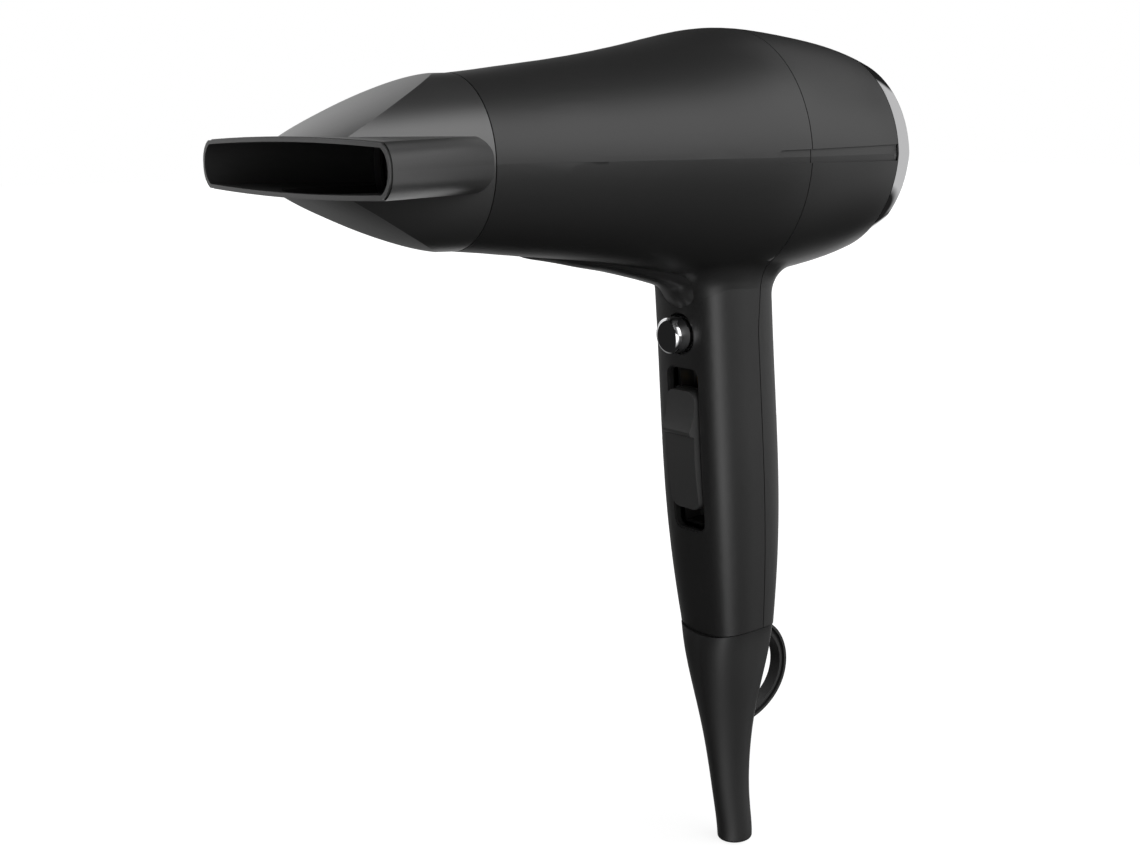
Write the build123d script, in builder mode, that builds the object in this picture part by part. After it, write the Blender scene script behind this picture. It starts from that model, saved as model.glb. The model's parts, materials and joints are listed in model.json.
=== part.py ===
from build123d import *
import os
from math import cos, sin, pi, sqrt

# Hair dryer. +X points along the barrel to the nozzle, +Z up, +Y the dryer's left side.
# The origin is the centre of the hand grip, on the grip's raked axis. Millimetres.

# ---- barrel -------------------------------------------------------------------------------
AXIS_Z = 99.0          # barrel axis above the grip centre
COLLAR_X = 102.6       # front end of the barrel, where the nozzle starts
PARTING_X = -1.0       # seam between the front and rear housings
RING_X = -44.3         # seam between the rear housing and the bright rear ring
TAIL_X = -52.3         # rear end of the ring
WALL = 2.2             # housing wall
SEAM = 0.3             # open line between two neighbouring outer pieces
LEAN = 2.4             # drop of each half's own axis at the tail, which makes the side crease
# half height of the barrel along its length
BARREL_FORM = [(112, 24.7), (COLLAR_X, 25.4), (84.6, 27.5), (66.6, 29.7), (35.1, 35.1),
               (8.1, 39.7), (-18.9, 38.1), (-41.4, 34.2), (-58, 28.3)]

# ---- grip ---------------------------------------------------------------------------------
RAKE = 0.065           # forward lean of the grip: X gained per unit of height
GRIP_FRONT, GRIP_REAR, GRIP_SIDE = 14.2, 15.3, 18.7
GRIP_POWER = 3.3       # squareness of the grip's section
GRIP_END = -59.3       # seam between the grip and the cord boot
# (distance up the grip axis, size factor)
GRIP_SIZES = [(78, 1.0), (45, 1.0), (10, 1.01), (-15, 0.995), (-36, 0.935), (-62, 0.80)]
BLEND = 11.0           # rounding where the grip meets the barrel
# long flare from the grip's front into the barrel's underside:
# (distance up the grip axis, forward reach, half width)
FLARE_FORM = [(46, 13.4, 11.5), (50, 14.2, 12.5), (54, 15.9, 13), (56.5, 17.6, 13), (59, 20.0, 12.5),
              (61, 24.4, 12), (62.7, 29.1, 11.5), (65.3, 36.9, 11), (67.6, 44.4, 10.5), (69.6, 52.0, 10),
              (71.7, 59.3, 9.5), (73.6, 66.5, 9), (75.6, 73.0, 9), (80, 79.0, 9)]
FLARE_POWER, FLARE_REAR = 2.1, 8.0
ARCH_R = 62.0          # the seam above the boot rises at both sides along this radius
GRIP_PARTING = -3.0    # the grip's seam, behind its axis

# ---- cord boot and hanging loop -----------------------------------------------------------
# (distance, half width, squareness, forward shift of the centre)
BOOT_TOP, BOOT_TOP_SIZE = -56.0, 0.837  # just above the seam, with the grip's size factor there
BOOT_FORM = [(-68, 12.95, 2.8, 0.3), (-77.5, 11.7, 2.4, 0.9), (-88.5, 9.9, 2.1, 1.4),
             (-99.5, 8.25, 2.0, 1.6), (-110.5, 7.05, 2.0, 1.6), (-122, 6.35, 2.0, 1.2),
             (-137.8, 6.0, 2.0, 0.5)]
CORD_HOLE_R = 3.7
LOOP_PATH = [(-17.5, -61.6), (-24.6, -66.2), (-28.0, -74.6), (-26.6, -82.6), (-20.8, -89.4),
             (-12.5, -93.2)]
LOOP_DEPTH, LOOP_WIDTH, LOOP_CHANNEL = 3.2, 4.8, 1.3

# ---- nozzle -------------------------------------------------------------------------------
MOUTH_X = 153.5
MOUTH_HALF_W, MOUTH_HALF_H, MOUTH_SIDE_H = 56.3, 8.25, 7.2
MOUTH_CORNER = 4.4     # reach of the rounding at the mouth's ends
THROAT_X, THROAT_HALF_W = 99.0, 22.6
NOZZLE_WALL = 1.4
COLLAR_FORM = [(98, 25.4), (114, 25.0), (130, 23.9), (156, 20.5)]
# half height of the nozzle's sloping top and bottom at mid width, and their crown's radius
SLOPE_FORM = [(103.4, 25.6), (109.8, 25.0), (119, 22.6), (126, 20.2), (132.8, 17.5), (138.8, 14.9),
              (143.6, 12.7), (148.5, 10.1), (152, 7.9)]
SLOPE_CROWN = 50.0
SPIGOT_R, SPIGOT_WALL, SPIGOT_X = 21.0, 1.8, 112.0
CLIP_GAP = 0.08        # running clearance of the nozzle's clip ring

# ---- switches -----------------------------------------------------------------------------
SLOT_LOW, SLOT_HIGH, SLOT_W = -22.4, 32.0, 14.6
SLOT_CORNER = 3.2
SLIDER_LOW, SLIDER_HIGH, SLIDER_LEDGE = -14.8, 24.9, 11.8
SLIDER_CORNER = 3.4
SLIDE_TRAVEL = 6.7
BUTTON_UP, BUTTON_R, BUTTON_PROUD = 43.4, 5.95, 5.8

# ---- air path -----------------------------------------------------------------------------
DUCT_R, DUCT_WALL = 28.0, 1.5
FAN_R, FAN_BACK, FAN_FRONT = 27.2, -33.0, -15.0
MOTOR_R, MOTOR_BACK, MOTOR_FRONT = 14.0, -8.0, 19.0
SHAFT_R = 1.0
HEATER_R, HEATER_BACK, HEATER_FRONT = 22.0, 36.0, 97.5
MICA = 0.6

os.makedirs("parts", exist_ok=True)


def save(builder, name):
    """Label one finished piece and write it as its own file."""
    builder.part.label = name
    export_step(builder.part, f"parts/{name}.step")


def across(x):
    """Plane square to the barrel axis at x. Its own x runs along +Y and its own y along +Z."""
    return Plane(origin=(x, 0, AXIS_Z), x_dir=(0, 1, 0), z_dir=(1, 0, 0))


def up_grip(distance):
    """Plane square to the grip axis. Its own x points forward and its own y along +Y."""
    along = Vector(RAKE, 0, 1).normalized() * distance
    return Plane(origin=along, x_dir=(1, 0, -RAKE), z_dir=(RAKE, 0, 1))


def facing(distance, forward):
    """Plane parallel to the grip's front face. Its own x runs up the grip, its own y along -Y."""
    base = up_grip(distance).from_local_coords(Vector(forward, 0, 0))
    return Plane(origin=base, x_dir=(RAKE, 0, 1), z_dir=(1, 0, -RAKE))


def side_plane():
    """Plane of the dryer's own symmetry, looking from -Y, with the grip axis as its y."""
    return Plane(origin=(0, 0, 0), x_dir=(1, 0, -RAKE), z_dir=(0, -1, 0))


def tube(x_low, x_high, outer, inner):
    """Plain tube about the barrel axis."""
    with BuildPart() as piece:
        with BuildSketch(across(x_low)):
            Circle(outer)
            Circle(inner, mode=Mode.SUBTRACT)
        extrude(amount=x_high - x_low)
    return piece.part


def rod(x_low, x_high, radius):
    """Plain round bar about the barrel axis."""
    with BuildPart() as piece:
        with BuildSketch(across(x_low)):
            Circle(radius)
        extrude(amount=x_high - x_low)
    return piece.part


def turned(points):
    """Solid of revolution about the barrel axis, from (x, radius) corners."""
    with BuildPart() as piece:
        with BuildSketch(Plane(origin=(0, 0, AXIS_Z), x_dir=(1, 0, 0), z_dir=(0, -1, 0))):
            with BuildLine():
                Polyline(*points, close=True)
            make_face()
        revolve(axis=Axis((0, 0, AXIS_Z), (1, 0, 0)))
    return piece.part


def section_points(front, rear, side, power):
    """Points round a squared oval section, evenly spread in angle."""
    points = []
    for step in range(16):
        angle = 2 * pi * step / 16
        across_x = abs(cos(angle)) ** (2 / power) * (front if cos(angle) > 0 else -rear)
        across_y = abs(sin(angle)) ** (2 / power) * (side if sin(angle) > 0 else -side)
        points.append((across_x, across_y))
    return points


def barrel_form(inset):
    """Barrel of two mirrored halves, each turned about an axis that drops away towards the tail."""
    tail_x, front_x = BARREL_FORM[-1][0], BARREL_FORM[0][0]
    slope = LEAN / (COLLAR_X - TAIL_X)
    axis_tail = (tail_x, -slope * (COLLAR_X - tail_x))
    axis_front = (front_x, slope * (front_x - COLLAR_X))
    outline = [(x, half - inset) for x, half in BARREL_FORM]
    with BuildPart() as piece:
        with BuildSketch(Plane(origin=(0, 0, AXIS_Z), x_dir=(1, 0, 0), z_dir=(0, -1, 0))):
            with BuildLine():
                Spline(*outline)
                Polyline(outline[-1], axis_tail, axis_front, outline[0])
            make_face()
        revolve(axis=Axis((tail_x, 0, AXIS_Z + axis_tail[1]), (1, 0, slope)))
        split(bisect_by=Plane.XY.offset(AXIS_Z), keep=Keep.TOP)
        mirror(about=Plane.XY.offset(AXIS_Z))
    return piece.part


def above_arch(distance):
    """Space above an arched surface across the grip, lowest along its middle."""
    with BuildPart() as piece:
        with BuildSketch(facing(distance + ARCH_R, -60)):
            Circle(ARCH_R)
        extrude(amount=180)
        with BuildSketch(facing(distance + ARCH_R + 80, -60)):
            Rectangle(160, 2 * ARCH_R)
        extrude(amount=180)
    return piece.part


def grip_form(inset, low_end):
    """Raked grip from its foot up into the barrel."""
    with BuildPart() as piece:
        for distance, size in GRIP_SIZES:
            with BuildSketch(up_grip(distance)):
                with BuildLine():
                    points = section_points(GRIP_FRONT * size - inset, GRIP_REAR * size - inset,
                                            GRIP_SIDE * size - inset, GRIP_POWER)
                    Spline(*points, periodic=True)
                make_face()
        loft()
        add(above_arch(low_end), mode=Mode.INTERSECT)
    return piece.part


def front_flare():
    """Material that carries the grip's front smoothly forward under the barrel."""
    with BuildPart() as piece:
        for distance, reach, half in FLARE_FORM:
            with BuildSketch(up_grip(distance)):
                with BuildLine():
                    Spline(*section_points(reach, FLARE_REAR, half, FLARE_POWER), periodic=True)
                make_face()
        loft()
    return piece.part


def housing_form(inset, back_x, low_end, blend=0.0):
    """Outside of the whole housing, or the same shape set in by a wall."""
    barrel, grip = barrel_form(inset), grip_form(inset, low_end)
    with BuildPart() as piece:
        add(barrel)
        add(grip)
        if blend:
            meeting = [edge for edge in piece.part.edges()
                       if 45 < edge.center().Z < 75 and edge.bounding_box().size.X > 8]
            fillet(meeting, radius=blend)
            add(front_flare())
        split(bisect_by=across(COLLAR_X), keep=Keep.BOTTOM)
        split(bisect_by=across(back_x), keep=Keep.TOP)
    return piece.part


def front_region(gap):
    """Space in front of the housing seam: straight through the barrel, raked down the grip."""
    def seam_x(height):
        return RAKE * height + GRIP_PARTING + gap
    corners = [(PARTING_X + gap, 160), (PARTING_X + gap, 60), (seam_x(44), 44), (seam_x(-70), -70),
               (130, -70), (130, 160)]
    with BuildPart() as piece:
        with BuildSketch(Plane.XZ.offset(-60)):
            with BuildLine():
                Polyline(*corners, close=True)
            make_face()
        extrude(amount=120)
    return piece.part


def slot_form(distance, forward, length, width, depth, corner):
    """Round-cornered block whose face lies square to the grip's forward direction."""
    with BuildPart() as piece:
        with BuildSketch(facing(distance, forward)):
            RectangleRounded(length, width, corner)
        extrude(amount=depth)
    return piece.part


def button_form(forward, radius, depth):
    """Round bar along the cool-shot button's line of travel."""
    with BuildPart() as piece:
        with BuildSketch(facing(BUTTON_UP, forward)):
            Circle(radius)
        extrude(amount=depth)
    return piece.part


def side_groove(way):
    """Long shallow recess in the side of the barrel, a little taller towards the tail."""
    front_x, rear_x, depth = 12.0, RING_X - 2, 0.9
    low_front, high_front, low_rear, high_rear = -1.7, 2.1, -2.3, 3.0
    with BuildPart() as piece:
        with BuildSketch(Plane(origin=(0, way * 30, AXIS_Z), x_dir=(1, 0, 0), z_dir=(0, -1, 0))):
            with BuildLine():
                Polyline((front_x, low_front), (front_x, high_front), (rear_x, high_rear),
                         (rear_x, low_rear), close=True)
            make_face()
            corners = vertices().group_by(Axis.X)[-1]
            fillet(corners, radius=1.2)
        extrude(amount=-way * 20)
        add(barrel_form(depth), mode=Mode.SUBTRACT)
    return piece.part


def ring_and_spokes(x, depth, radii, bar, spokes, hub=0.0):
    """Open disc of concentric rings joined by spokes, thick along the barrel axis."""
    with BuildPart() as piece:
        with BuildSketch(across(x)):
            for radius in radii:
                Circle(radius + bar / 2)
                Circle(radius - bar / 2, mode=Mode.SUBTRACT)
            if hub:
                Circle(hub)
            inner, outer = (hub or radii[0]) - 0.3, radii[-1]
            with PolarLocations((inner + outer) / 2, spokes):
                Rectangle(outer - inner, bar)
        extrude(amount=depth)
    return piece.part


# ---- housings -----------------------------------------------------------------------------
BACK_EDGE = RING_X + SEAM / 2
outer_form = housing_form(0, BACK_EDGE, GRIP_END, BLEND)
inner_form = housing_form(WALL, BACK_EDGE - 1, GRIP_END - 1)
lip_outer = housing_form(WALL - 0.3, BACK_EDGE, GRIP_END + 2)
lip_inner = housing_form(WALL + 0.9, BACK_EDGE - 1, GRIP_END + 1)
grooves = [side_groove(way) for way in (1, -1)]

with BuildPart() as seam_lip:
    add(lip_outer)
    add(lip_inner, mode=Mode.SUBTRACT)
    add(front_region(-3.0), mode=Mode.INTERSECT)
    add(front_region(2.0), mode=Mode.SUBTRACT)

with BuildPart() as front_housing:
    add(outer_form)
    add(inner_form, mode=Mode.SUBTRACT)
    add(front_region(SEAM / 2), mode=Mode.INTERSECT)
    add(seam_lip.part)
    for groove in grooves:
        add(groove, mode=Mode.SUBTRACT)
    # power slot with its stepped rim
    slot_middle, slot_length = (SLOT_LOW + SLOT_HIGH) / 2, SLOT_HIGH - SLOT_LOW
    add(slot_form(slot_middle, 8, slot_length, SLOT_W, 14, SLOT_CORNER), mode=Mode.SUBTRACT)
    add(slot_form(slot_middle, GRIP_FRONT - 0.75, slot_length + 1, SLOT_W + 1, 8, SLOT_CORNER + 0.5),
        mode=Mode.SUBTRACT)
    # cool-shot button's guide and its recess
    add(button_form(9.0, BUTTON_R + 2.0, 3.5))
    add(button_form(6.0, BUTTON_R + 0.35, 20), mode=Mode.SUBTRACT)
    add(button_form(GRIP_FRONT - 1.2, BUTTON_R + 0.95, 12), mode=Mode.SUBTRACT)
    # spigot that carries the nozzle
    add(turned([(96, HEATER_R + 0.1), (96, 24.2), (COLLAR_X, 24.2), (COLLAR_X, SPIGOT_R),
                (SPIGOT_X, SPIGOT_R), (SPIGOT_X, SPIGOT_R - SPIGOT_WALL),
                (100.5, SPIGOT_R - SPIGOT_WALL), (98.5, HEATER_R + 0.1)]))
save(front_housing, "front_housing")

with BuildPart() as lip_seat:
    add(housing_form(WALL - 0.4, BACK_EDGE, GRIP_END + 1))
    add(front_region(-3.2), mode=Mode.INTERSECT)

# bulkhead inside the tail, which the filter cap's skirt enters
SKIRT_R, SKIRT_DEEP = 29.6, 7.0
with BuildPart() as tail_bulkhead:
    add(tube(BACK_EDGE + 1.5, BACK_EDGE + 3.5, 36, SKIRT_R + 0.35))
    add(barrel_form(WALL - 0.5), mode=Mode.INTERSECT)

# short bosses that the fan duct is screwed to
SCREW_CIRCLE, SCREW_R, FLANGE_X = 31.2, 0.9, -32.0
with BuildPart() as duct_bosses:
    with BuildSketch(across(FLANGE_X)):
        with PolarLocations(SCREW_CIRCLE, 3, start_angle=90):
            Circle(1.6)
        with PolarLocations(SCREW_CIRCLE + 4, 3, start_angle=90):
            Rectangle(8, 1.6)
        with PolarLocations(SCREW_CIRCLE, 3, start_angle=90):
            Circle(SCREW_R, mode=Mode.SUBTRACT)
    extrude(amount=9)
    add(barrel_form(WALL - 0.8), mode=Mode.INTERSECT)

with BuildPart() as rear_housing:
    add(outer_form)
    add(inner_form, mode=Mode.SUBTRACT)
    add(front_region(-SEAM / 2), mode=Mode.SUBTRACT)
    add(lip_seat.part, mode=Mode.SUBTRACT)
    add(tail_bulkhead.part)
    add(duct_bosses.part)
    for groove in grooves:
        add(groove, mode=Mode.SUBTRACT)
save(rear_housing, "rear_housing")


# ---- filter cap: bright ring, grille and mesh, which pull off backwards -----------------------
RING_BORE = 28.3
GRILLE_R, GRILLE_BAR = 27.6, 1.5
GRILLE_RINGS = [4.0, 9.7, 15.4, 21.1, 26.8]
GRILLE_SPOKES = 12

with BuildPart() as rear_trim_ring:
    add(barrel_form(0))
    split(bisect_by=across(RING_X - SEAM / 2), keep=Keep.BOTTOM)
    split(bisect_by=across(TAIL_X), keep=Keep.TOP)
    fillet(rear_trim_ring.faces().sort_by(Axis.X)[0].edges(), radius=1.2)
    add(rod(TAIL_X - 5, RING_X + 5, RING_BORE), mode=Mode.SUBTRACT)
save(rear_trim_ring, "rear_trim_ring")

# the grille is a shallow dome, and its skirt reaches into the rear housing
DOME_RISE, GRILLE_THICK = 3.0, 2.0
grille_edge_x = TAIL_X + 4.2
dome_r = (GRILLE_R ** 2 + DOME_RISE ** 2) / (2 * DOME_RISE)

with BuildPart() as grille_dome:
    with BuildSketch(Plane(origin=(0, 0, AXIS_Z), x_dir=(1, 0, 0), z_dir=(0, -1, 0))):
        with Locations((grille_edge_x - DOME_RISE + dome_r, 0)):
            Circle(dome_r)
            Circle(dome_r - GRILLE_THICK, mode=Mode.SUBTRACT)
        with Locations((grille_edge_x, 50)):
            Rectangle(160, 100, mode=Mode.INTERSECT)
    revolve(axis=Axis((0, 0, AXIS_Z), (1, 0, 0)))

with BuildPart() as inlet_grille:
    add(ring_and_spokes(TAIL_X - 2, 12, GRILLE_RINGS, GRILLE_BAR, GRILLE_SPOKES))
    add(grille_dome.part, mode=Mode.INTERSECT)
    add(tube(grille_edge_x - 0.6, RING_X + SKIRT_DEEP, RING_BORE - 0.05, SKIRT_R - 2.5))
    add(tube(RING_X - SEAM / 2, RING_X + SKIRT_DEEP, SKIRT_R, SKIRT_R - 2.5))
save(inlet_grille, "inlet_grille")

MESH_PITCH, MESH_HOLE, MESH_R = 2.9, 2.3, 26.9
with BuildPart() as filter_mesh:
    with BuildSketch(across(RING_X + 1.0)):
        Circle(MESH_R)
        reach = MESH_R - 1.0
        places = [(column * MESH_PITCH, row * MESH_PITCH)
                  for column in range(-9, 10) for row in range(-9, 10)]
        with Locations(*[(a, b) for a, b in places if sqrt(a ** 2 + b ** 2) < reach - 1]):
            Rectangle(MESH_HOLE, MESH_HOLE, mode=Mode.SUBTRACT)
    extrude(amount=0.5)
save(filter_mesh, "filter_mesh")

# ---- cord boot with its hanging loop ------------------------------------------------------
with BuildPart() as cord_boot:
    for distance, half, power, shift in [(BOOT_TOP, None, GRIP_POWER, 0.0)] + BOOT_FORM:
        with BuildSketch(up_grip(distance)):
            with BuildLine():
                if half is None:
                    points = section_points(GRIP_FRONT * BOOT_TOP_SIZE, GRIP_REAR * BOOT_TOP_SIZE,
                                            GRIP_SIDE * BOOT_TOP_SIZE, power)
                else:
                    points = section_points(half, half, half, power)
                Spline(*[(x + shift, y) for x, y in points], periodic=True)
            make_face()
    loft()
    add(above_arch(GRIP_END - SEAM), mode=Mode.SUBTRACT)
    fillet(cord_boot.faces().sort_by(Axis.Z)[0].edges(), radius=1.0)
    with BuildLine():
        route = Spline(*[(x, 0, z) for x, z in LOOP_PATH])
    with BuildSketch(Plane(origin=route @ 0, x_dir=(0, 1, 0), z_dir=route % 0)):
        Rectangle(LOOP_WIDTH, LOOP_DEPTH)
        with Locations((LOOP_WIDTH / 2, 0), (-LOOP_WIDTH / 2, 0)):
            Rectangle(2.2, LOOP_CHANNEL, mode=Mode.SUBTRACT)
    sweep(path=route)
    # neck that the grip closes on, then the way through for the cord
    with BuildSketch(up_grip(GRIP_END - 1)):
        Circle(6.6)
    extrude(amount=8.0)
    with BuildSketch(up_grip(GRIP_END + 4.0)):
        Circle(8.2)
    extrude(amount=3.0)
    with BuildSketch(up_grip(GRIP_END + 9)):
        Circle(CORD_HOLE_R)
    extrude(amount=-100, mode=Mode.SUBTRACT)
save(cord_boot, "cord_boot")


# ---- nozzle -------------------------------------------------------------------------------
def fan_section(half_w, half_h, side_h, inset):
    """Flat section of the nozzle's mouth: gently crowned top and bottom, rounded ends."""
    half_w, half_h, side_h = half_w - inset, half_h - inset, side_h - inset
    shoulder = half_w - MOUTH_CORNER + 0.5 * inset
    with BuildLine() as outline:
        crown = ThreePointArc((-shoulder, side_h), (0, half_h), (shoulder, side_h))
        end = ThreePointArc((shoulder, side_h), (half_w - 0.9, side_h * 0.58), (half_w, 0))
        mirror(end, about=Plane.XZ)
        mirror(crown, about=Plane.XZ)
        far = mirror(end, about=Plane.YZ)
        mirror(far, about=Plane.XZ)
    return outline


def fan_tube(inset, back_x, front_x):
    """Flat tube that flares in plan from the throat to the mouth."""
    with BuildPart() as piece:
        for x in (back_x, front_x):
            spread = (x - THROAT_X) / (MOUTH_X - THROAT_X)
            half_w = THROAT_HALF_W + spread * (MOUTH_HALF_W - THROAT_HALF_W)
            side_h = MOUTH_SIDE_H + (1 - spread) * 0.6
            outline = fan_section(half_w, MOUTH_HALF_H, side_h, inset)
            with BuildSketch(across(x)):
                add(outline.line)
                make_face()
        loft(ruled=True)
    return piece.part


def slope_form(inset):
    """Space between the nozzle's crowned sloping top and bottom."""
    slope = [(x, height - inset * 1.1) for x, height in SLOPE_FORM]
    back_x, front_x = slope[0][0] - 8, slope[-1][0]
    with BuildPart() as piece:
        with BuildSketch(Plane(origin=(0, 0, AXIS_Z), x_dir=(1, 0, 0), z_dir=(0, -1, 0))):
            with BuildLine():
                Spline(*slope)
                Polyline(slope[-1], (front_x, -20), (back_x, -20), (back_x, slope[0][1] + 1), slope[0])
            make_face()
        revolve(axis=Axis((0, 0, AXIS_Z - SLOPE_CROWN), (1, 0, 0)))
        split(bisect_by=Plane.XY.offset(AXIS_Z), keep=Keep.TOP)
        mirror(about=Plane.XY.offset(AXIS_Z))
    return piece.part


def wedge(inset, back_x):
    """Round collar cut to a wedge by the sloping top and bottom."""
    with BuildPart() as piece:
        with BuildSketch(Plane(origin=(0, 0, AXIS_Z), x_dir=(1, 0, 0), z_dir=(0, -1, 0))):
            with BuildLine():
                collar = [(x, radius - inset) for x, radius in COLLAR_FORM]
                Spline(*collar)
                Polyline(collar[-1], (collar[-1][0], 0), (collar[0][0], 0), collar[0])
            make_face()
        revolve(axis=Axis((0, 0, AXIS_Z), (1, 0, 0)))
        split(bisect_by=across(back_x), keep=Keep.TOP)
        add(slope_form(inset), mode=Mode.INTERSECT)
    return piece.part


RIM_DEEP, RIM_STEP = 1.0, 0.3
nozzle_outer_wedge = wedge(0, COLLAR_X + SEAM)
nozzle_inner_wedge = wedge(NOZZLE_WALL, COLLAR_X - 1)
nozzle_outer_fan = fan_tube(0, THROAT_X + 4.5, MOUTH_X - RIM_DEEP)
nozzle_rim = fan_tube(RIM_STEP, MOUTH_X - RIM_DEEP, MOUTH_X)
nozzle_inner_fan = fan_tube(NOZZLE_WALL, THROAT_X + 8, MOUTH_X + 2)
CLIP_BACK, CLIP_FRONT = COLLAR_X + 0.6, SPIGOT_X - 1.4
CLIP_R = SPIGOT_R + CLIP_GAP
LINER_R, LINER_WALL = 22.6, 0.9

with BuildPart() as nozzle_shell:
    add(nozzle_outer_wedge)
    add(nozzle_outer_fan)
    add(nozzle_rim)
    add(nozzle_inner_wedge, mode=Mode.SUBTRACT)
    add(nozzle_inner_fan, mode=Mode.SUBTRACT)
save(nozzle_shell, "nozzle_shell")

# round liner that grips the clip ring and keeps the heat off the collar
with BuildPart() as nozzle_liner:
    add(turned([(CLIP_BACK, LINER_R), (CLIP_BACK, LINER_R + LINER_WALL),
                (SPIGOT_X + 2, LINER_R + LINER_WALL), (SPIGOT_X + 2, SPIGOT_R - 1.0),
                (SPIGOT_X + 1, SPIGOT_R - 1.0), (SPIGOT_X + 1, LINER_R)]))
    add(nozzle_inner_wedge, mode=Mode.INTERSECT)
save(nozzle_liner, "nozzle_liner")

with BuildPart() as nozzle_clip_ring:
    add(tube(CLIP_BACK, CLIP_FRONT, LINER_R - 0.1, CLIP_R))
    chamfer(nozzle_clip_ring.faces().sort_by(Axis.X)[-1].edges().sort_by(Edge.length)[-1:], length=0.4)
save(nozzle_clip_ring, "nozzle_clip_ring")

# ---- heater -------------------------------------------------------------------------------
MICA_REACH = HEATER_R - 2.6
COIL_R, WIRE_R = MICA_REACH + 0.75, 0.45
PLATE_MIDDLE = (HEATER_BACK + HEATER_FRONT) / 2

with BuildPart() as heater_tube:
    add(tube(HEATER_BACK, HEATER_FRONT, HEATER_R, HEATER_R - MICA))
save(heater_tube, "heater_tube")

with BuildPart() as outlet_grille:
    add(ring_and_spokes(HEATER_FRONT + 1.2, 1.6, [3.5, 7.5, 11.5, 15.5], 1.1, 8))
    add(tube(HEATER_FRONT + 1.2, HEATER_FRONT + 2.8, 18.9, 17.6))
    with BuildSketch(across(HEATER_FRONT + 1.2)):
        with PolarLocations(17, 8):
            Rectangle(3.4, 1.1)
    extrude(amount=1.6)
save(outlet_grille, "outlet_grille")


def mica_plate(plane, slot_from, slot_to):
    """Thin plate along the heater, with the slot that its crossing plate slides into."""
    with BuildPart() as piece:
        with BuildSketch(plane):
            with Locations((PLATE_MIDDLE, 0)):
                Rectangle(HEATER_FRONT - HEATER_BACK - 3, 2 * MICA_REACH)
            with Locations(((slot_from + slot_to) / 2, 0)):
                Rectangle(slot_to - slot_from, MICA + 0.1, mode=Mode.SUBTRACT)
        extrude(amount=MICA / 2, both=True)
    return piece


mica_plate_upright = mica_plate(Plane(origin=(0, 0, AXIS_Z), x_dir=(1, 0, 0), z_dir=(0, -1, 0)),
                                PLATE_MIDDLE - 0.1, HEATER_FRONT)
save(mica_plate_upright, "mica_plate_upright")
mica_plate_flat = mica_plate(Plane(origin=(0, 0, AXIS_Z), x_dir=(1, 0, 0), z_dir=(0, 0, 1)),
                             HEATER_BACK, PLATE_MIDDLE + 0.1)
save(mica_plate_flat, "mica_plate_flat")


def heating_coil(first_x, last_x, pitch):
    """Turns of resistance wire round the edges of the crossed plates."""
    with BuildPart() as piece:
        with BuildSketch(Plane(origin=(0, 0, AXIS_Z), x_dir=(1, 0, 0), z_dir=(0, -1, 0))):
            turns = int((last_x - first_x) / pitch) + 1
            with Locations(*[(first_x + turn * pitch, COIL_R) for turn in range(turns)]):
                Circle(WIRE_R)
        revolve(axis=Axis((0, 0, AXIS_Z), (1, 0, 0)))
    return piece


heating_coil_rear = heating_coil(HEATER_BACK + 5, PLATE_MIDDLE - 4, 3.2)
save(heating_coil_rear, "heating_coil_rear")
heating_coil_front = heating_coil(PLATE_MIDDLE + 2, HEATER_FRONT - 6, 3.2)
save(heating_coil_front, "heating_coil_front")

with BuildPart() as thermostat:
    thermostat_at = (HEATER_BACK + 16, MICA / 2, AXIS_Z + 8)
    with BuildSketch(Plane(origin=thermostat_at, x_dir=(1, 0, 0), z_dir=(0, 1, 0))):
        Rectangle(11, 6)
    extrude(amount=3.4)
    fillet(thermostat.edges().filter_by(Axis.Y), radius=0.8)
    cap_at = (HEATER_BACK + 16, MICA / 2 + 3.4, AXIS_Z + 8)
    with BuildSketch(Plane(origin=cap_at, x_dir=(1, 0, 0), z_dir=(0, 1, 0))):
        Circle(2.2)
    extrude(amount=0.8)
save(thermostat, "thermostat")

with BuildPart() as thermal_fuse:
    fuse_at = (HEATER_BACK + 30, -MICA / 2 - 1.6, AXIS_Z + 8)
    fuse_plane = Plane(origin=fuse_at, x_dir=(0, 1, 0), z_dir=(1, 0, 0))
    with BuildSketch(fuse_plane):
        Circle(1.6)
    extrude(amount=9)
    with BuildSketch(fuse_plane.offset(-4)):
        Circle(0.4)
    extrude(amount=17)
save(thermal_fuse, "thermal_fuse")

# ---- fan and motor ------------------------------------------------------------------------
CRADLE_R = MOTOR_R + 0.05
DUCT_BACK, DUCT_FRONT, CONE_FRONT = -35.0, 22.0, HEATER_BACK + 3.0
VANES = 7
with BuildPart() as fan_duct:
    add(turned([(DUCT_BACK, DUCT_R), (DUCT_BACK, DUCT_R + DUCT_WALL), (DUCT_FRONT, DUCT_R + DUCT_WALL),
                (CONE_FRONT, HEATER_R + 1.3), (CONE_FRONT, HEATER_R + 0.05), (HEATER_BACK, HEATER_R + 0.05),
                (DUCT_FRONT, DUCT_R)]))
    add(tube(FLANGE_X - 2, FLANGE_X, 33.2, DUCT_R + 0.5))
    with BuildSketch(across(FLANGE_X - 3)):
        with PolarLocations(SCREW_CIRCLE, 3, start_angle=90):
            Circle(SCREW_R + 0.15)
    extrude(amount=4, mode=Mode.SUBTRACT)
    with BuildSketch(across(MOTOR_BACK + 2)):
        with PolarLocations((DUCT_R + CRADLE_R) / 2 + 0.6, VANES):
            Rectangle(DUCT_R - CRADLE_R, 1.2)
    extrude(amount=15)
    add(tube(MOTOR_BACK + 2, MOTOR_FRONT - 1, CRADLE_R + 1.4, CRADLE_R))
save(fan_duct, "fan_duct")

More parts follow.
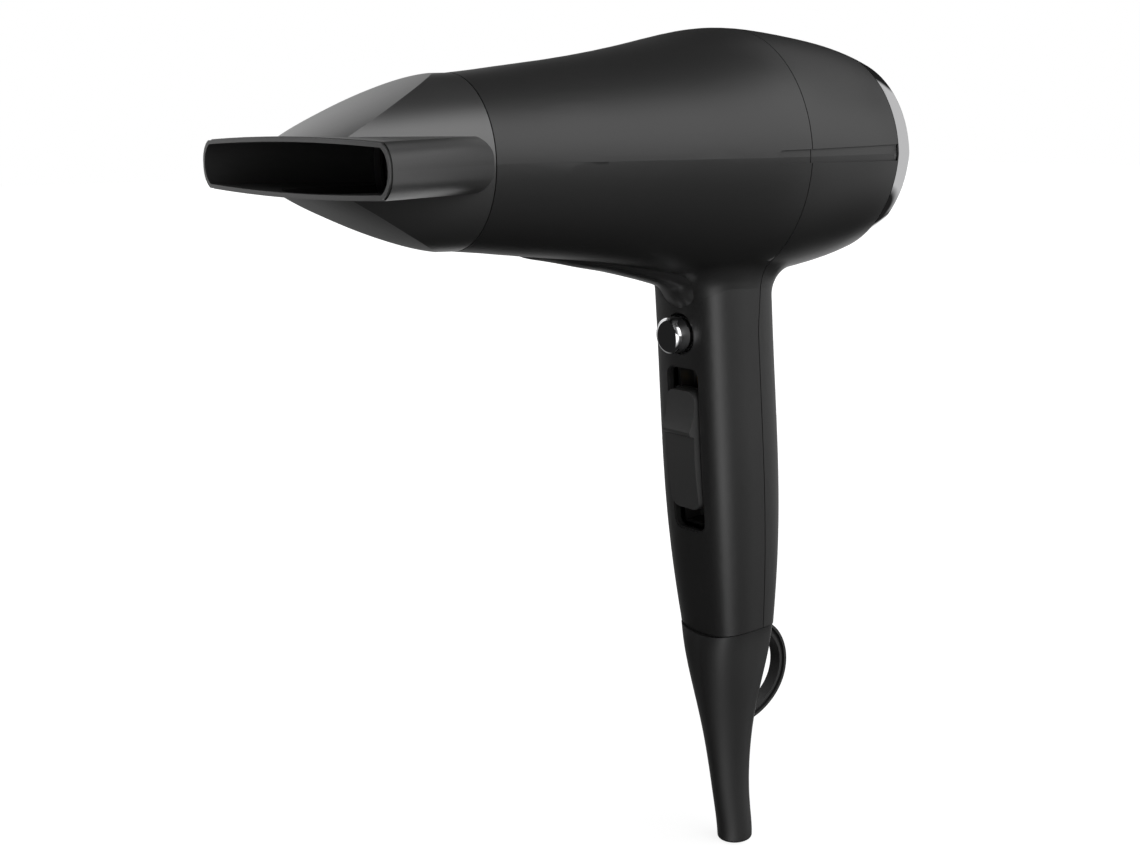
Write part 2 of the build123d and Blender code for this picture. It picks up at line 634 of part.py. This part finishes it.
BLADES, HUB_R, BLADE_SWEEP, BLADE_THICK = 9, 11.5, 5.0, 1.3
with BuildPart() as fan_blades:
    for blade in range(BLADES):
        angle = 2 * pi * blade / BLADES
        outward = (0, cos(angle), sin(angle))
        with BuildSketch(Plane(origin=(0, 0, AXIS_Z), x_dir=(1, 0, 0), z_dir=outward).offset(HUB_R - 1.0)):
            with BuildLine():
                Polyline((FAN_BACK + 9.5, -BLADE_SWEEP), (FAN_FRONT - 0.5, BLADE_SWEEP),
                         (FAN_FRONT - 0.5, BLADE_SWEEP + BLADE_THICK),
                         (FAN_BACK + 9.5, BLADE_THICK - BLADE_SWEEP), close=True)
            make_face()
        extrude(amount=FAN_R - HUB_R + 1.0)
    add(rod(FAN_BACK, FAN_FRONT, FAN_R), mode=Mode.INTERSECT)

with BuildPart() as fan_impeller:
    add(turned([(FAN_BACK + 3, 0), (FAN_BACK + 3, 6.5), (FAN_BACK + 6, 10.2), (FAN_BACK + 9, HUB_R),
                (FAN_FRONT, HUB_R), (FAN_FRONT, HUB_R - 1.6), (FAN_BACK + 9, HUB_R - 1.6),
                (FAN_BACK + 6.5, 8.0), (FAN_BACK + 6.5, 3.2), (FAN_FRONT + 1, 3.2), (FAN_FRONT + 1, 0)]))
    add(fan_blades.part)
    add(rod(FAN_BACK, FAN_FRONT + 3, SHAFT_R), mode=Mode.SUBTRACT)
save(fan_impeller, "fan_impeller")

with BuildPart() as motor_shaft:
    add(rod(FAN_BACK - 0.5, MOTOR_FRONT + 5.5, SHAFT_R))
save(motor_shaft, "motor_shaft")

with BuildPart() as fan_nut:
    with BuildSketch(across(FAN_BACK + 0.3)):
        RegularPolygon(3.0, 6)
        Circle(SHAFT_R, mode=Mode.SUBTRACT)
    extrude(amount=2.6)
save(fan_nut, "fan_nut")

CAN_WALL, BUSH_R = 0.9, 3.0
with BuildPart() as motor_can:
    add(tube(MOTOR_BACK, MOTOR_FRONT, MOTOR_R, MOTOR_R - CAN_WALL))
    add(tube(MOTOR_BACK, MOTOR_BACK + CAN_WALL, MOTOR_R, BUSH_R))
    with BuildSketch(across(MOTOR_BACK - 1)):
        with PolarLocations(8.5, 4):
            Circle(1.6)
    extrude(amount=3, mode=Mode.SUBTRACT)
save(motor_can, "motor_can")

with BuildPart() as motor_end_cap:
    add(tube(MOTOR_FRONT, MOTOR_FRONT + 1.6, MOTOR_R, BUSH_R))
    add(tube(MOTOR_FRONT - 2, MOTOR_FRONT, MOTOR_R - CAN_WALL - 0.05, MOTOR_R - CAN_WALL - 1.2))
    with BuildSketch(across(MOTOR_FRONT + 1.6)):
        with PolarLocations(9.5, 2):
            Rectangle(1.0, 3.2)
    extrude(amount=2.6)
save(motor_end_cap, "motor_end_cap")

with BuildPart() as motor_bushes:
    for bush_x in (MOTOR_BACK - 1.2, MOTOR_FRONT - 1.2):
        add(tube(bush_x, bush_x + 3.2, BUSH_R, SHAFT_R + 0.06))
save(motor_bushes, "motor_bushes")

with BuildPart() as motor_magnets:
    add(tube(MOTOR_BACK + 3, MOTOR_FRONT - 5, MOTOR_R - CAN_WALL, 11.3))
    with BuildSketch(across(0)):
        Rectangle(8, 40)
    extrude(amount=40, both=True, mode=Mode.SUBTRACT)
save(motor_magnets, "motor_magnets")

POLES = 5
with BuildPart() as armature:
    with BuildSketch(across(MOTOR_BACK + 4)):
        Circle(4.4)
        with PolarLocations(6.5, POLES):
            Rectangle(6.0, 2.6)
        with PolarLocations(9.6, POLES):
            Rectangle(1.4, 9.6)
        Circle(10.8, mode=Mode.INTERSECT)
        Circle(SHAFT_R, mode=Mode.SUBTRACT)
    extrude(amount=15)
save(armature, "armature")

with BuildPart() as armature_windings:
    with BuildSketch(across(MOTOR_BACK + 4)):
        with PolarLocations(6.7, POLES, start_angle=36):
            Circle(1.9)
    extrude(amount=15)
save(armature_windings, "armature_windings")

with BuildPart() as commutator:
    add(tube(MOTOR_BACK + 19.2, MOTOR_FRONT - 1.6, 3.4, SHAFT_R))
    with BuildSketch(across(0)):
        with PolarLocations(3.4, POLES):
            Rectangle(1.0, 0.35)
    extrude(amount=40, mode=Mode.SUBTRACT)
save(commutator, "commutator")

BOARD_X = MOTOR_FRONT + 5.0
with BuildPart() as rectifier_board:
    with BuildSketch(across(BOARD_X)):
        Circle(12.5)
        Circle(4.5, mode=Mode.SUBTRACT)
        with PolarLocations(9.5, 2):
            Rectangle(1.1, 3.3, mode=Mode.SUBTRACT)
    extrude(amount=1.4)
save(rectifier_board, "rectifier_board")

with BuildPart() as rectifier_diodes:
    for up, along in ((-8, 3), (-8, -3), (8, 3), (8, -3)):
        with BuildSketch(Plane(origin=(BOARD_X + 2.8, along * 1.7 - 2.5, AXIS_Z + up * 0.75),
                               x_dir=(1, 0, 0), z_dir=(0, 1, 0))):
            Circle(1.35)
        extrude(amount=5)
save(rectifier_diodes, "rectifier_diodes")

with BuildPart() as duct_screws:
    with BuildSketch(across(FLANGE_X - 2)):
        with PolarLocations(SCREW_CIRCLE, 3, start_angle=90):
            Circle(SCREW_R)
    extrude(amount=9)
    with BuildSketch(across(FLANGE_X - 3.6)):
        with PolarLocations(SCREW_CIRCLE, 3, start_angle=90):
            Circle(1.6)
            Rectangle(2.2, 0.5, mode=Mode.SUBTRACT)
            Rectangle(0.5, 2.2, mode=Mode.SUBTRACT)
    extrude(amount=1.6)
save(duct_screws, "duct_screws")

# ---- power switch: slider, carriage, frame, contacts ----------------------------------------
SLIDER_W, SLIDER_IN, CARRIAGE_IN = SLOT_W - 0.6, 9.0, 4.0
FRAME_IN, FRAME_PLATE, FRAME_SIDE = 1.4, 1.6, 1.4
CONTACT_THICK = 0.4
CARRIAGE_UP = 5.5      # middle of the carriage's foot at rest

with BuildPart() as power_slider:
    with BuildSketch(side_plane()):
        with BuildLine():
            Polyline((15.2, SLIDER_HIGH), (SLIDER_IN, SLIDER_HIGH), (SLIDER_IN, SLIDER_LOW),
                     (15.0, SLIDER_LOW))
            Spline((15.0, SLIDER_LOW), (16.0, SLIDER_LOW + 12), (16.0, SLIDER_LEDGE - 1.6))
            Spline((16.0, SLIDER_LEDGE - 1.6), (17.5, SLIDER_LEDGE - 0.8), (18.0, SLIDER_LEDGE + 0.3))
            Spline((18.0, SLIDER_LEDGE + 0.3), (16.5, SLIDER_LEDGE + 3.4), (15.5, SLIDER_LEDGE + 8.0),
                   (15.2, SLIDER_HIGH))
        make_face()
    extrude(amount=SLIDER_W / 2, both=True)
    slider_middle, slider_length = (SLIDER_LOW + SLIDER_HIGH) / 2, SLIDER_HIGH - SLIDER_LOW
    add(slot_form(slider_middle, 0, slider_length, SLIDER_W, 30, SLIDER_CORNER), mode=Mode.INTERSECT)
    add(slot_form(slider_middle, SLIDER_IN, slider_length, SLIDER_W + 3, 1.8, 2.0))
save(power_slider, "power_slider")

with BuildPart() as slider_carriage:
    add(slot_form(CARRIAGE_UP, CARRIAGE_IN, 25, SLIDER_W + 0.4, SLIDER_IN - CARRIAGE_IN, 1.0))
    add(slot_form(CARRIAGE_UP, CARRIAGE_IN - 1, 30, 2.6, 2.2, 0.2), mode=Mode.SUBTRACT)
save(slider_carriage, "slider_carriage")

with BuildPart() as switch_frame:
    frame_low, frame_high = -30.0, 50.0
    frame_middle, frame_length = (frame_low + frame_high) / 2, frame_high - frame_low
    frame_w = SLIDER_W + 1.2 + 2 * FRAME_SIDE
    add(slot_form(frame_middle, FRAME_IN, frame_length, frame_w, FRAME_PLATE, 1.0))
    add(slot_form(slot_middle, FRAME_IN, slot_length, frame_w, 7.0, 1.0))
    add(slot_form(slot_middle, FRAME_IN + FRAME_PLATE, slot_length - 2, SLIDER_W + 1.2, 9.0, 0.5),
        mode=Mode.SUBTRACT)
    add(button_form(-10, 4.3, 20), mode=Mode.SUBTRACT)
save(switch_frame, "switch_frame")

with BuildPart() as switch_contacts:
    with BuildSketch(facing(slot_middle, FRAME_IN + FRAME_PLATE)):
        with Locations((0, 4.4), (0, -4.4)):
            Rectangle(46, 2.2)
    extrude(amount=CONTACT_THICK)
    with BuildSketch(facing(slot_middle, FRAME_IN + FRAME_PLATE + CONTACT_THICK)):
        with Locations(*[(along, side) for along in (-14, 0, 14) for side in (4.4, -4.4)]):
            Circle(1.0)
    extrude(amount=0.35)
save(switch_contacts, "switch_contacts")

with BuildPart() as detent_spring:
    with BuildSketch(facing(slot_middle, FRAME_IN + FRAME_PLATE)):
        Rectangle(44, 2.0)
    extrude(amount=0.3)
    for stop in (-SLIDE_TRAVEL, 0, SLIDE_TRAVEL):
        with BuildSketch(side_plane().offset(-1.0)):
            with Locations((FRAME_IN + FRAME_PLATE, CARRIAGE_UP + stop)):
                Circle(1.1)
            with Locations((FRAME_IN + FRAME_PLATE - 1.2, CARRIAGE_UP + stop)):
                Rectangle(2.4, 4.0, mode=Mode.SUBTRACT)
        extrude(amount=2.0)
save(detent_spring, "detent_spring")

# ---- cool-shot button -----------------------------------------------------------------------
BUTTON_TOP = GRIP_FRONT + BUTTON_PROUD
BUTTON_FOOT = 7.6

with BuildPart() as cool_button:
    with BuildSketch(facing(BUTTON_UP, BUTTON_FOOT)):
        Circle(BUTTON_R + 1.2)
    extrude(amount=1.1)
    with BuildSketch(facing(BUTTON_UP, BUTTON_FOOT)):
        Circle(BUTTON_R)
    extrude(amount=BUTTON_TOP - BUTTON_FOOT)
    fillet(cool_button.edges().filter_by(GeomType.CIRCLE).sort_by(Axis.X)[-1:], radius=1.7)
save(cool_button, "cool_button")

PLUNGER_IN, SPRING_IN = 1.0, 1.4
with BuildPart() as cool_plunger:
    add(button_form(PLUNGER_IN, 1.6, BUTTON_FOOT - PLUNGER_IN))
save(cool_plunger, "cool_plunger")

with BuildPart() as cool_spring:
    spring_base = facing(BUTTON_UP, SPRING_IN)
    with BuildLine():
        coil = Helix(pitch=1.3, height=BUTTON_FOOT - SPRING_IN - 0.5, radius=3.1,
                     center=spring_base.origin, direction=spring_base.z_dir)
    with BuildSketch(Plane(origin=coil @ 0, z_dir=coil % 0)):
        Circle(0.3)
    sweep(path=coil)
save(cool_spring, "cool_spring")

with BuildPart() as cool_switch:
    add(slot_form(BUTTON_UP, -9.0, 12.0, 6.4, 7.0, 0.6))
    add(button_form(-2.0, 1.2, 0.6))
save(cool_switch, "cool_switch")

# ---- leads and cord clamp in the grip --------------------------------------------------------
LEAD_R, LEAD_BACK = 1.1, -6.0
CLAMP_LOW = -48.0
with BuildPart() as switch_leads:
    for lead_low, lead_length in ((-41.5, 74.0), (BUTTON_UP + 6.3, 18.0)):
        with BuildSketch(up_grip(lead_low)):
            with Locations(*[(LEAD_BACK, side) for side in (-3.0, 0, 3.0)]):
                Circle(LEAD_R)
        extrude(amount=lead_length)
save(switch_leads, "switch_leads")

CLAMP_TALL, CLAMP_SCREW_Y = 6.0, 6.3
with BuildPart() as cord_clamp:
    with BuildSketch(up_grip(CLAMP_LOW)):
        RectangleRounded(14, 18, 1.5)
        Circle(CORD_HOLE_R, mode=Mode.SUBTRACT)
    extrude(amount=CLAMP_TALL)
    with BuildSketch(facing(CLAMP_LOW + CLAMP_TALL / 2, -10)):
        with Locations((0, CLAMP_SCREW_Y), (0, -CLAMP_SCREW_Y)):
            Circle(1.3)
    extrude(amount=20, mode=Mode.SUBTRACT)
save(cord_clamp, "cord_clamp")

with BuildPart() as clamp_screws:
    for side in (CLAMP_SCREW_Y, -CLAMP_SCREW_Y):
        with BuildSketch(facing(CLAMP_LOW + CLAMP_TALL / 2, -6.5)):
            with Locations((0, side)):
                Circle(1.25)
        extrude(amount=13.5)
        with BuildSketch(facing(CLAMP_LOW + CLAMP_TALL / 2, 7.0)):
            with Locations((0, side)):
                Circle(2.2)
                Rectangle(3.0, 0.6, mode=Mode.SUBTRACT)
        extrude(amount=1.4)
save(clamp_screws, "clamp_screws")
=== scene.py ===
import bpy
import json
import math
from mathutils import Matrix, Vector


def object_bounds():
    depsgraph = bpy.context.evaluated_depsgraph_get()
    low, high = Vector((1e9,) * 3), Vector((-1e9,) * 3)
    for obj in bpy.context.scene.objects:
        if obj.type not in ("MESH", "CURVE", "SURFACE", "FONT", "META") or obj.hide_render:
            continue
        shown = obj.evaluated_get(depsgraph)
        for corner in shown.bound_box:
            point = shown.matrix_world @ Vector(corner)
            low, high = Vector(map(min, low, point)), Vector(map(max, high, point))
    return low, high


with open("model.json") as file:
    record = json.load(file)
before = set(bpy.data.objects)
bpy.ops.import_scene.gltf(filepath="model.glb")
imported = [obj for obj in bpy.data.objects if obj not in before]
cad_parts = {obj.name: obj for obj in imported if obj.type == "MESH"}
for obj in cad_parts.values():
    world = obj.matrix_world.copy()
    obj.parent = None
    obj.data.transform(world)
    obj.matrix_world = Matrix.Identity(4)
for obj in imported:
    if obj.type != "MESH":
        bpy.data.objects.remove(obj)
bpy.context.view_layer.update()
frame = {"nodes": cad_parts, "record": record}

# Metres. +X runs along the barrel to the nozzle, +Y is the photographed side, +Z is up.
BARREL_Z = 0.099                 # height of the barrel's axis

# camera, fitted to the outline in the photograph
CAMERA_PLACE = (0.35388, 0.41167, 0.11225)
CAMERA_AZIMUTH, CAMERA_ELEVATION, CAMERA_ROLL = 144.555, 10.70, -0.576      # degrees
CAMERA_SENSOR, CAMERA_LENS = 36.0, 52.28                                    # millimetres
CLIP_NEAR, CLIP_FAR = 0.01, 50

# floor
FLOOR_GAP = 0.0003               # space between the floor and the lowest point of the dryer
FLOOR_REACH = 6.0
FLOOR_TONE, FLOOR_ROUGHNESS = 0.35, 0.9
FLOOR_GLOW, FLOOR_GLOW_FAR = 0.84, 1.05
GLOW_START, GLOW_END = 0.10, 0.45     # distances between which the floor's glow rises

# light
AMBIENT, PANEL_GAIN = 0.015, 2.0
# Each panel is a ramp over bearing times a ramp over elevation, as (degrees, level) stops.
# Bearings run from the tail (0) round the camera's side (positive).
PANELS = [
    # tall panels on the camera's side, cut off sharply at the horizon
    ([(-180, 0.0), (15, 0.0), (20, 0.85), (34, 1.0), (52, 1.0), (70, 1.25), (95, 1.1),
      (125, 0.30), (150, 0.05), (180, 0.0)],
     [(-2, 0.0), (3, 0.70), (22, 0.85), (46, 1.0), (60, 0.05), (74, 0.0)]),
    # what comes back from the floor
    ([(14, 0.0), (18, 0.34), (34, 0.24), (50, 0.09), (66, 0.03), (90, 0.05), (112, 0.15),
      (132, 0.9), (150, 1.7), (165, 1.4), (180, 0.5)],
     [(-60, 0.0), (-36, 0.25), (-16, 1.0), (-2, 1.0), (3, 0.0)]),
    # small panel behind the tail, which the bright ring shows
    ([(-24, 0.0), (-20, 0.27), (14, 0.27), (18, 0.0)],
     [(-21, 0.0), (-18, 1.0), (22, 1.0), (25, 0.0)]),
    # beside it, for the rear of the grip
    ([(-64, 0.0), (-50, 0.6), (-29, 0.6), (-25, 0.0)],
     [(-34, 0.0), (-26, 1.0), (-6, 1.0), (4, 0.0)]),
    # above it, for the top of the tail
    ([(-36, 0.0), (-26, 0.25), (15, 0.55), (20, 0.0)],
     [(28, 0.0), (34, 1.0), (42, 1.0), (50, 0.0)]),
    # far side, over the nozzle's slopes
    ([(-105, 0.0), (-92, 0.60), (-76, 0.52), (-68, 0.36), (-61, 0.25), (-56, 0.0)],
     [(-60, 0.0), (-35, 0.26), (-15, 0.22), (0, 0.35), (10, 0.85), (24, 1.0), (45, 1.0),
      (62, 0.0)]),
    # narrow panel off the nozzle's end
    ([(-121, 0.0), (-118, 0.5), (-107, 0.5), (-102, 0.0)],
     [(-15, 0.0), (-5, 1.0), (30, 1.0), (45, 0.0)]),
]

# materials
BLOTCH_SCALE, BLOTCH_DETAIL = 35, 3   # noise that varies a plastic's tone and gloss
TONE_SPREAD, GLOSS_SPREAD = 0.06, 0.03
GRAIN_DETAIL, GRAIN_DEPTH = 2, 0.00005
# painted shade: in the nozzle, faces that look towards the axis past this threshold are painted
# black for the shade inside the air way
SHADE_FACING_AXIS = -0.1                    # below this, a face looks towards the barrel's axis
AIRWAY_DULLING = 0.6                  # roughness added there
SMEAR_SCALE, POLISH_SPREAD = 60, 0.2  # noise that varies a metal's polish


# ---- nodes ---------------------------------------------------------------------------------
def new_material(name):
    """Material with nodes, and its nodes, links and shader."""
    made = bpy.data.materials.new(name)
    made.use_nodes = True
    nodes, links = made.node_tree.nodes, made.node_tree.links
    return made, nodes, links, nodes["Principled BSDF"]


def spread_of(nodes, links, source, low, high):
    """A number from 0 to 1 spread over another range."""
    made = nodes.new("ShaderNodeMapRange")
    made.inputs["To Min"].default_value, made.inputs["To Max"].default_value = low, high
    links.new(source, made.inputs["Value"])
    return made.outputs[0]


def noise_of(nodes, links, place, scale, detail):
    """Noise over the object's own coordinates."""
    made = nodes.new("ShaderNodeTexNoise")
    made.inputs["Scale"].default_value = scale
    made.inputs["Detail"].default_value = detail
    links.new(place.outputs["Object"], made.inputs["Vector"])
    return made.outputs["Fac"]


def ramp_of(nodes, links, source, low, high, stops):
    """Value of a ramp along a source number; stops are (source value, level)."""
    spread = nodes.new("ShaderNodeMapRange")
    spread.inputs["From Min"].default_value, spread.inputs["From Max"].default_value = low, high
    links.new(source, spread.inputs["Value"])
    ramp = nodes.new("ShaderNodeValToRGB")
    marks = ramp.color_ramp.elements
    while len(marks) < len(stops):
        marks.new(0.5)
    for mark, (value, level) in zip(marks, stops):
        mark.position = (value - low) / (high - low)
        mark.color = (level, level, level, 1)
    links.new(spread.outputs[0], ramp.inputs[0])
    return ramp.outputs[0]


def joined(nodes, links, kind, first, second):
    """Two numbers combined by one math node."""
    made = nodes.new("ShaderNodeMath")
    made.operation = kind
    links.new(first, made.inputs[0])
    links.new(second, made.inputs[1])
    return made.outputs[0]


# ---- camera --------------------------------------------------------------------------------
def camera():
    """Three-quarter view from the nozzle's end, just above the barrel's axis, looking down."""
    azimuth, elevation, roll = (math.radians(angle) for angle in
                                (CAMERA_AZIMUTH, CAMERA_ELEVATION, CAMERA_ROLL))
    back = Vector((math.sin(azimuth) * math.cos(elevation),
                   -math.cos(azimuth) * math.cos(elevation),
                   math.sin(elevation)))
    level = Vector((math.cos(azimuth), math.sin(azimuth), 0))
    up = back.cross(level)
    right = math.cos(roll) * level + math.sin(roll) * up
    upright = -math.sin(roll) * level + math.cos(roll) * up
    data = bpy.data.cameras.new("camera")
    data.sensor_width, data.lens = CAMERA_SENSOR, CAMERA_LENS
    data.clip_start, data.clip_end = CLIP_NEAR, CLIP_FAR
    made = bpy.data.objects.new("camera", data)
    turn = Matrix((right, upright, back)).transposed()
    made.matrix_world = Matrix.Translation(Vector(CAMERA_PLACE)) @ turn.to_4x4()
    bpy.context.scene.collection.objects.link(made)
    bpy.context.scene.camera = made


# ---- stage and light -----------------------------------------------------------------------
def floor_piece():
    """Pale floor under the boot's tip, fading to white with distance."""
    low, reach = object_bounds()[0][2] - FLOOR_GAP, FLOOR_REACH
    mesh = bpy.data.meshes.new("floor")
    corners = [(-reach, -reach, low), (reach, -reach, low), (reach, reach, low),
               (-reach, reach, low)]
    mesh.from_pydata(corners, [], [(0, 1, 2, 3)])
    floor = bpy.data.objects.new("floor", mesh)
    bpy.context.scene.collection.objects.link(floor)
    floor.visible_diffuse = floor.visible_glossy = False
    paint, nodes, links, shader = new_material("floor")
    shader.inputs["Base Color"].default_value = (FLOOR_TONE, FLOOR_TONE, FLOOR_TONE, 1)
    shader.inputs["Roughness"].default_value = FLOOR_ROUGHNESS
    shader.inputs["Specular IOR Level"].default_value = 0.0
    shader.inputs["Emission Color"].default_value = (1, 1, 1, 1)
    place = nodes.new("ShaderNodeTexCoord")
    far = nodes.new("ShaderNodeVectorMath")
    far.operation = "LENGTH"
    links.new(place.outputs["Object"], far.inputs[0])
    glow = nodes.new("ShaderNodeMapRange")
    glow.inputs["From Min"].default_value = GLOW_START
    glow.inputs["From Max"].default_value = GLOW_END
    glow.inputs["To Min"].default_value = FLOOR_GLOW
    glow.inputs["To Max"].default_value = FLOOR_GLOW_FAR
    links.new(far.outputs["Value"], glow.inputs["Value"])
    links.new(glow.outputs[0], shader.inputs["Emission Strength"])
    mesh.materials.append(paint)


def panels_of(nodes, links, bearing, height):
    """Sum of the panels, each the product of its two ramps."""
    total = None
    for sides, heights in PANELS:
        side = ramp_of(nodes, links, bearing, -math.pi, math.pi,
                       [(math.radians(angle), level) for angle, level in sides])
        high = ramp_of(nodes, links, height, -1, 1,
                       [(math.sin(math.radians(angle)), level) for angle, level in heights])
        lamp = joined(nodes, links, "MULTIPLY", side, high)
        total = lamp if total is None else joined(nodes, links, "ADD", total, lamp)
    return total


def surround():
    """Studio of soft panels by bearing and height; plain white where the camera sees it."""
    world = bpy.data.worlds.new("surround")
    world.use_nodes = True
    nodes, links = world.node_tree.nodes, world.node_tree.links
    place = nodes.new("ShaderNodeTexCoord")
    split = nodes.new("ShaderNodeSeparateXYZ")
    links.new(place.outputs["Generated"], split.inputs[0])
    tailward = nodes.new("ShaderNodeMath")
    tailward.operation = "MULTIPLY"
    tailward.inputs[1].default_value = -1.0
    links.new(split.outputs[0], tailward.inputs[0])
    bearing = joined(nodes, links, "ARCTAN2", split.outputs[1], tailward.outputs[0])
    scaled = nodes.new("ShaderNodeMath")
    scaled.operation = "MULTIPLY_ADD"
    scaled.inputs[1].default_value, scaled.inputs[2].default_value = PANEL_GAIN, AMBIENT
    links.new(panels_of(nodes, links, bearing, split.outputs[2]), scaled.inputs[0])
    dim = nodes["Background"]
    dim.inputs["Color"].default_value = (1, 1, 1, 1)
    links.new(scaled.outputs[0], dim.inputs["Strength"])
    white = nodes.new("ShaderNodeBackground")
    white.inputs["Color"].default_value = (1, 1, 1, 1)
    seen, mix = nodes.new("ShaderNodeLightPath"), nodes.new("ShaderNodeMixShader")
    links.new(seen.outputs["Is Camera Ray"], mix.inputs[0])
    links.new(dim.outputs[0], mix.inputs[1])
    links.new(white.outputs[0], mix.inputs[2])
    links.new(mix.outputs[0], nodes["World Output"].inputs["Surface"])
    bpy.context.scene.world = world
    bpy.context.scene.view_settings.view_transform = "Standard"


# ---- materials -----------------------------------------------------------------------------
def plastic(name, tone, roughness, grain=0.0, grain_size=0.0004, specular=0.5):
    """Moulded plastic: a faint uneven tone, uneven gloss and a spark-eroded grain."""
    made, nodes, links, shader = new_material(name)
    place = nodes.new("ShaderNodeTexCoord")
    blotch = noise_of(nodes, links, place, BLOTCH_SCALE, BLOTCH_DETAIL)
    shade = spread_of(nodes, links, blotch, tone * (1 - TONE_SPREAD), tone * (1 + TONE_SPREAD))
    colour = nodes.new("ShaderNodeCombineColor")
    for channel in ("Red", "Green", "Blue"):
        links.new(shade, colour.inputs[channel])
    links.new(colour.outputs[0], shader.inputs["Base Color"])
    gloss = spread_of(nodes, links, blotch, roughness - GLOSS_SPREAD, roughness + GLOSS_SPREAD)
    links.new(gloss, shader.inputs["Roughness"])
    shader.inputs["Specular IOR Level"].default_value = specular
    if grain:
        speck = noise_of(nodes, links, place, 1 / grain_size, GRAIN_DETAIL)
        bump = nodes.new("ShaderNodeBump")
        bump.inputs["Strength"].default_value = grain
        bump.inputs["Distance"].default_value = GRAIN_DEPTH
        links.new(speck, bump.inputs["Height"])
        links.new(bump.outputs[0], shader.inputs["Normal"])
    return made


def nozzle_plastic_with_painted_shade(made):
    """The same plastic with painted shade: the air way's walls, which face the barrel's axis,
    are painted dull black for the shade inside the air way.
    """
    nodes, links = made.node_tree.nodes, made.node_tree.links
    shader = nodes["Principled BSDF"]
    place = nodes.new("ShaderNodeTexCoord")
    # unit vector from the axis to the point
    aside = nodes.new("ShaderNodeVectorMath")
    aside.operation = "SUBTRACT"
    aside.inputs[1].default_value = (0, 0, BARREL_Z)
    outward = nodes.new("ShaderNodeVectorMath")
    outward.operation = "MULTIPLY"
    outward.inputs[1].default_value = (0, 1, 1)
    unit = nodes.new("ShaderNodeVectorMath")
    unit.operation = "NORMALIZE"
    links.new(place.outputs["Object"], aside.inputs[0])
    links.new(aside.outputs[0], outward.inputs[0])
    links.new(outward.outputs[0], unit.inputs[0])
    # mask of the painted shade inside the air way
    # 1 on faces that look back at the axis, 0 elsewhere
    facing = nodes.new("ShaderNodeVectorMath")
    facing.operation = "DOT_PRODUCT"
    painted_shade_mask = nodes.new("ShaderNodeMath")
    painted_shade_mask.operation = "LESS_THAN"
    painted_shade_mask.inputs[1].default_value = SHADE_FACING_AXIS
    links.new(unit.outputs[0], facing.inputs[0])
    links.new(place.outputs["Normal"], facing.inputs[1])
    links.new(facing.outputs["Value"], painted_shade_mask.inputs[0])
    # painted shade: black there, for the shade inside the air way
    outside_painted_shade = nodes.new("ShaderNodeMath")
    outside_painted_shade.operation = "SUBTRACT"
    outside_painted_shade.inputs[0].default_value = 1.0
    colour = nodes.new("ShaderNodeVectorMath")
    colour.operation = "SCALE"
    links.new(painted_shade_mask.outputs[0], outside_painted_shade.inputs[1])
    links.new(shader.inputs["Base Color"].links[0].from_socket, colour.inputs[0])
    links.new(outside_painted_shade.outputs[0], colour.inputs["Scale"])
    links.new(colour.outputs[0], shader.inputs["Base Color"])
    # and rougher
    dull = nodes.new("ShaderNodeMath")
    dull.operation = "MULTIPLY_ADD"
    dull.inputs[1].default_value = AIRWAY_DULLING
    links.new(painted_shade_mask.outputs[0], dull.inputs[0])
    links.new(shader.inputs["Roughness"].links[0].from_socket, dull.inputs[2])
    links.new(dull.outputs[0], shader.inputs["Roughness"])
    return made


def metal(name, colour, roughness):
    """Plated or drawn metal with faint uneven polish."""
    made, nodes, links, shader = new_material(name)
    shader.inputs["Metallic"].default_value = 1.0
    shader.inputs["Base Color"].default_value = (*colour, 1)
    place = nodes.new("ShaderNodeTexCoord")
    smear = nodes.new("ShaderNodeTexNoise")
    smear.inputs["Scale"].default_value = SMEAR_SCALE
    links.new(place.outputs["Object"], smear.inputs["Vector"])
    gloss = spread_of(nodes, links, smear.outputs["Fac"],
                      roughness * (1 - POLISH_SPREAD), roughness * (1 + POLISH_SPREAD))
    links.new(gloss, shader.inputs["Roughness"])
    return made


def materials():
    """One finish for each material slot in the record."""
    return {
        # name, tone, roughness, strength and size of the grain, specular level
        "soft_black": plastic("soft_black", 0.028, 0.40, 0.12, 0.0005, 0.47),
        # the nozzle's air way walls are painted black as shade
        "nozzle_black": nozzle_plastic_with_painted_shade(plastic("nozzle_black", 0.045, 0.31, 0.30, 0.0004, 1.0)),
        "rubber_black": plastic("rubber_black", 0.030, 0.46, 0.10, 0.0006, 0.45),
        "slider_grey": plastic("slider_grey", 0.065, 0.42, 0.10, 0.0004, 0.6),
        "grille_black": plastic("grille_black", 0.020, 0.50, 0.10, 0.0004),
        "gloss_black": plastic("gloss_black", 0.015, 0.15),
        "inner_plastic": plastic("inner_plastic", 0.030, 0.45, 0.1),
        "fan_plastic": plastic("fan_plastic", 0.06, 0.35),
        "mica": plastic("mica", 0.35, 0.35),
        "board": plastic("board", 0.12, 0.4),
        "lead_sleeve": plastic("lead_sleeve", 0.15, 0.4),
        "ferrite": plastic("ferrite", 0.06, 0.7),
        # name, colour, roughness
        "bright_chrome": metal("bright_chrome", (0.86, 0.86, 0.87), 0.04),
        "mesh_steel": metal("mesh_steel", (0.30, 0.30, 0.31), 0.35),
        "coil_wire": metal("coil_wire", (0.42, 0.40, 0.38), 0.35),
        "steel": metal("steel", (0.55, 0.55, 0.56), 0.30),
        "brass": metal("brass", (0.72, 0.52, 0.22), 0.30),
        "copper": metal("copper", (0.72, 0.36, 0.20), 0.30),
    }


def dress(finishes):
    """Every CAD node takes its slot's finish."""
    for part in frame["record"]["subparts"]:
        node = frame["nodes"][part["node"]]
        node.data.materials.clear()
        node.data.materials.append(finishes[part["material_slot"]])


camera()
floor_piece()
surround()
dress(materials())
